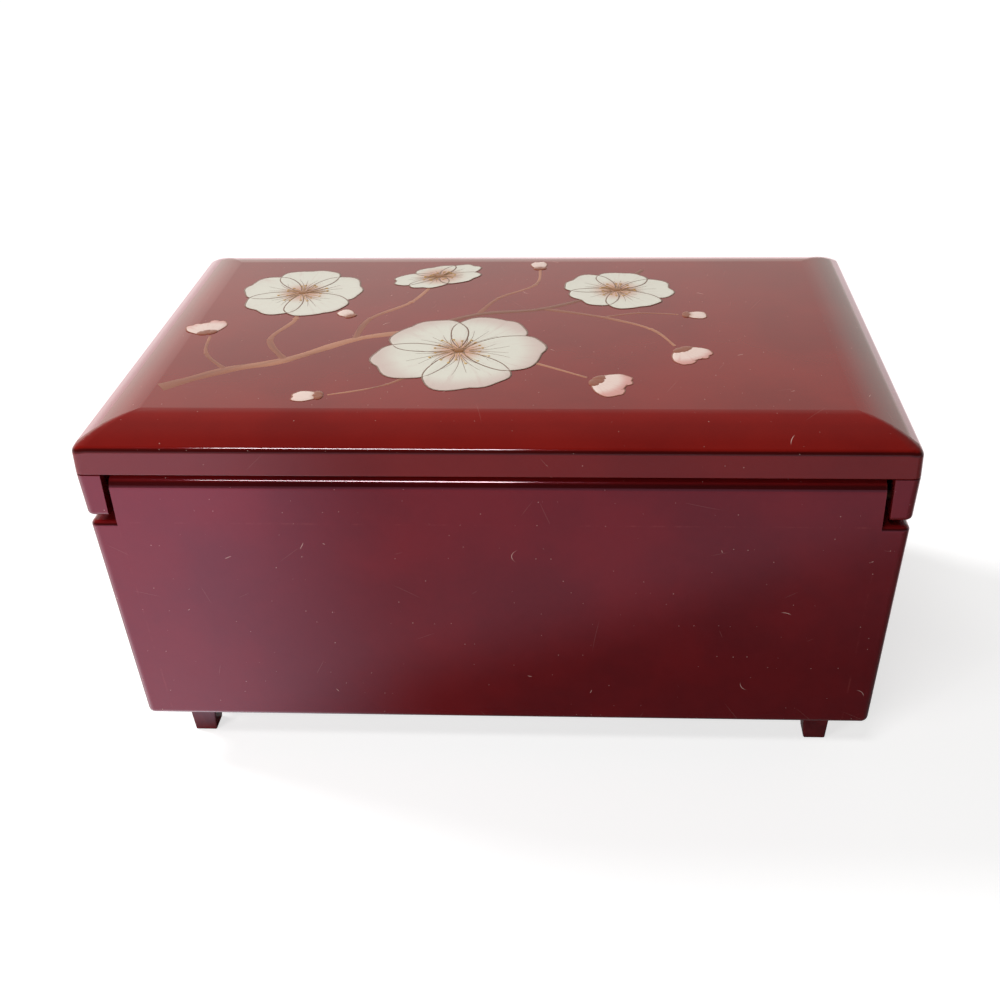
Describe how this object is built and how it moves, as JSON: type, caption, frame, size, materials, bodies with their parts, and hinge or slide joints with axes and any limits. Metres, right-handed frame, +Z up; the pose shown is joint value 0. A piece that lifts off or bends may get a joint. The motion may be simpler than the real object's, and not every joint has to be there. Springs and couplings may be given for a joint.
{
  "type": "lacquered jewellery box",
  "caption": "Lacquered wooden jewellery box with a crowned hinged lid, mirror, lined compartments, ring rolls and small tapered feet.",
  "frame": {"origin": "on the surface that the feet stand on, under the middle of the box", "axes": "+X runs along the hinge side, to the right when that side is faced; +Y runs from the hinge side to the front; +Z is up"},
  "size_m": [0.2, 0.125, 0.1],
  "materials": {
    "lid_lacquer": "high gloss red lacquer over wood",
    "case_lacquer": "high gloss dark red lacquer over wood",
    "base_lacquer": "satin dark lacquer over wood",
    "pin_brass": "drawn brass pin",
    "mirror_glass": "silvered glass",
    "velvet": "short pile velvet",
    "felt": "wool felt"
  },
  "bodies": {
    "case": {"back_wall": "case_lacquer", "front_wall": "case_lacquer", "left_wall": "case_lacquer", "right_wall": "case_lacquer", "base_panel": "base_lacquer", "hinge_rail": "case_lacquer", "foot_back_left": "case_lacquer", "foot_back_right": "case_lacquer", "foot_front_left": "case_lacquer", "foot_front_right": "case_lacquer", "lid_bumper_left": "felt", "lid_bumper_right": "felt", "lining_back": "velvet", "lining_front": "velvet", "lining_left": "velvet", "lining_right": "velvet", "cross_divider": "velvet", "long_divider": "velvet", "short_divider": "velvet", "shelf_ledge_inner": "velvet", "shelf_ledge_outer": "velvet", "ring_shelf": "velvet", "ring_roll_1": "velvet", "ring_roll_2": "velvet", "ring_roll_3": "velvet", "ring_roll_4": "velvet", "ring_roll_5": "velvet", "ring_roll_6": "velvet", "pad_back": "velvet", "pad_corner": "velvet", "pad_front": "velvet"},
    "lid": {"lid_board": "lid_lacquer", "lid_cheek_left": "case_lacquer", "lid_cheek_right": "case_lacquer", "lid_front_rail": "case_lacquer", "hinge_pin_left": "pin_brass", "hinge_pin_right": "pin_brass", "mirror": "mirror_glass", "lid_lining": "velvet"}
  },
  "joints": [
    {"name": "lid_hinge", "type": "hinge", "parent": "case", "child": "lid", "pos_m": [0, -0.0582, 0.0825], "axis": [1, 0, 0], "range_deg": [0, 112]}
  ]
}
